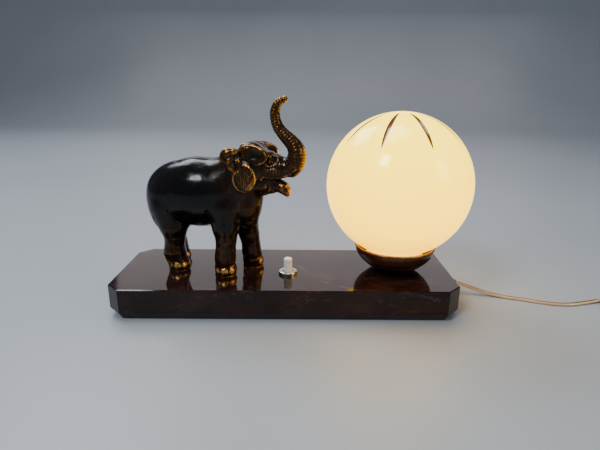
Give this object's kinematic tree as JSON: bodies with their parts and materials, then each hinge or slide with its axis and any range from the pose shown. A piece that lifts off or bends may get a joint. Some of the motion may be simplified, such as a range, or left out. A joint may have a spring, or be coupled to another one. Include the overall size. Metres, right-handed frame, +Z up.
{
  "type": "table lamp",
  "caption": "Table lamp: cast elephant and opal ball globe on a clipped-corner marble base, with push switch, lift-off globe, unscrewing bulb and a flex with plug.",
  "frame": {"origin": "middle of the face that the base rests on, under the felt", "axes": "+X along the base from the elephant to the globe, +Y to the back, +Z up"},
  "size_m": [0.5575, 0.1775, 0.2009],
  "materials": {
    "marble": "polished, thin pale veins",
    "felt": "pressed wool felt",
    "figure_bronze": "dark lacquered patina rubbed through to gold on the high places",
    "bronzed_brass": "dark bronzed, lacquered",
    "brass": "raw, slightly dull",
    "steel": "zinc plated",
    "porcelain": "unglazed",
    "frosted_glass": "frosted inside",
    "bulb_cap_metal": "rolled",
    "black_glass": "glossy",
    "tungsten": "drawn wire",
    "opal_glass": "flashed opal, glossy, with ground clear cuts near the pole",
    "ring_metal": "nickel plated, a little worn",
    "button_plastic": "moulded, slightly yellowed white",
    "bakelite": "moulded, dark brown",
    "rubber": "matt",
    "clear_flex": "clear sheath over tinned and copper strands",
    "brown_wire": "extruded",
    "blue_wire": "extruded",
    "black_wire": "extruded",
    "plug_plastic": "moulded, fine grain",
    "plug_metal": "nickel plated"
  },
  "bodies": {
    "base": {"marble_base": "marble", "felt_underlay": "felt", "elephant_figure": "figure_bronze", "elephant_studs": "steel", "elephant_stud_washers": "steel", "elephant_stud_nuts": "brass", "gallery": "bronzed_brass", "lamp_tube": "brass", "lamp_tube_washer": "steel", "lamp_tube_nut": "brass", "lampholder_cap": "brass", "lampholder_sleeve": "brass", "lampholder_insert": "porcelain", "screw_shell": "brass", "centre_contact": "brass", "lampholder_terminals": "brass", "switch_barrel": "steel", "switch_ring_nut": "ring_metal", "switch_spring": "steel", "switch_housing": "bakelite", "switch_contacts": "brass", "lead_bush": "rubber", "lead_clamp": "bakelite", "lead_clamp_screws": "steel", "inner_flex": "clear_flex", "live_wire": "brown_wire", "neutral_wire": "blue_wire", "switched_wire": "black_wire", "mains_lead": "clear_flex", "lead_coil": "clear_flex", "lead_tail": "clear_flex", "coil_tie": "black_wire", "plug_body": "plug_plastic", "plug_pins": "plug_metal"},
    "globe": {"globe": "opal_glass"},
    "bulb": {"bulb_glass": "frosted_glass", "bulb_screw_cap": "bulb_cap_metal", "bulb_cap_insulator": "black_glass", "bulb_tip": "bulb_cap_metal", "bulb_stem": "frosted_glass", "bulb_filament": "tungsten"},
    "button": {"switch_button": "button_plastic", "switch_bridge": "brass"}
  },
  "joints": [
    {"name": "globe_lift", "type": "slide", "parent": "base", "child": "globe", "axis": [0, 0, 1], "range_m": [0, 0.1]},
    {"name": "bulb_unscrew", "type": "slide", "parent": "base", "child": "bulb", "axis": [0, 0, 1], "range_m": [0, 0.028]},
    {"name": "button_push", "type": "slide", "parent": "base", "child": "button", "axis": [0, 0, -1], "range_m": [0, 0.0028], "stiffness_N_per_m": 600, "springref_m": -0.003, "deforming": ["switch_spring"]}
  ]
}
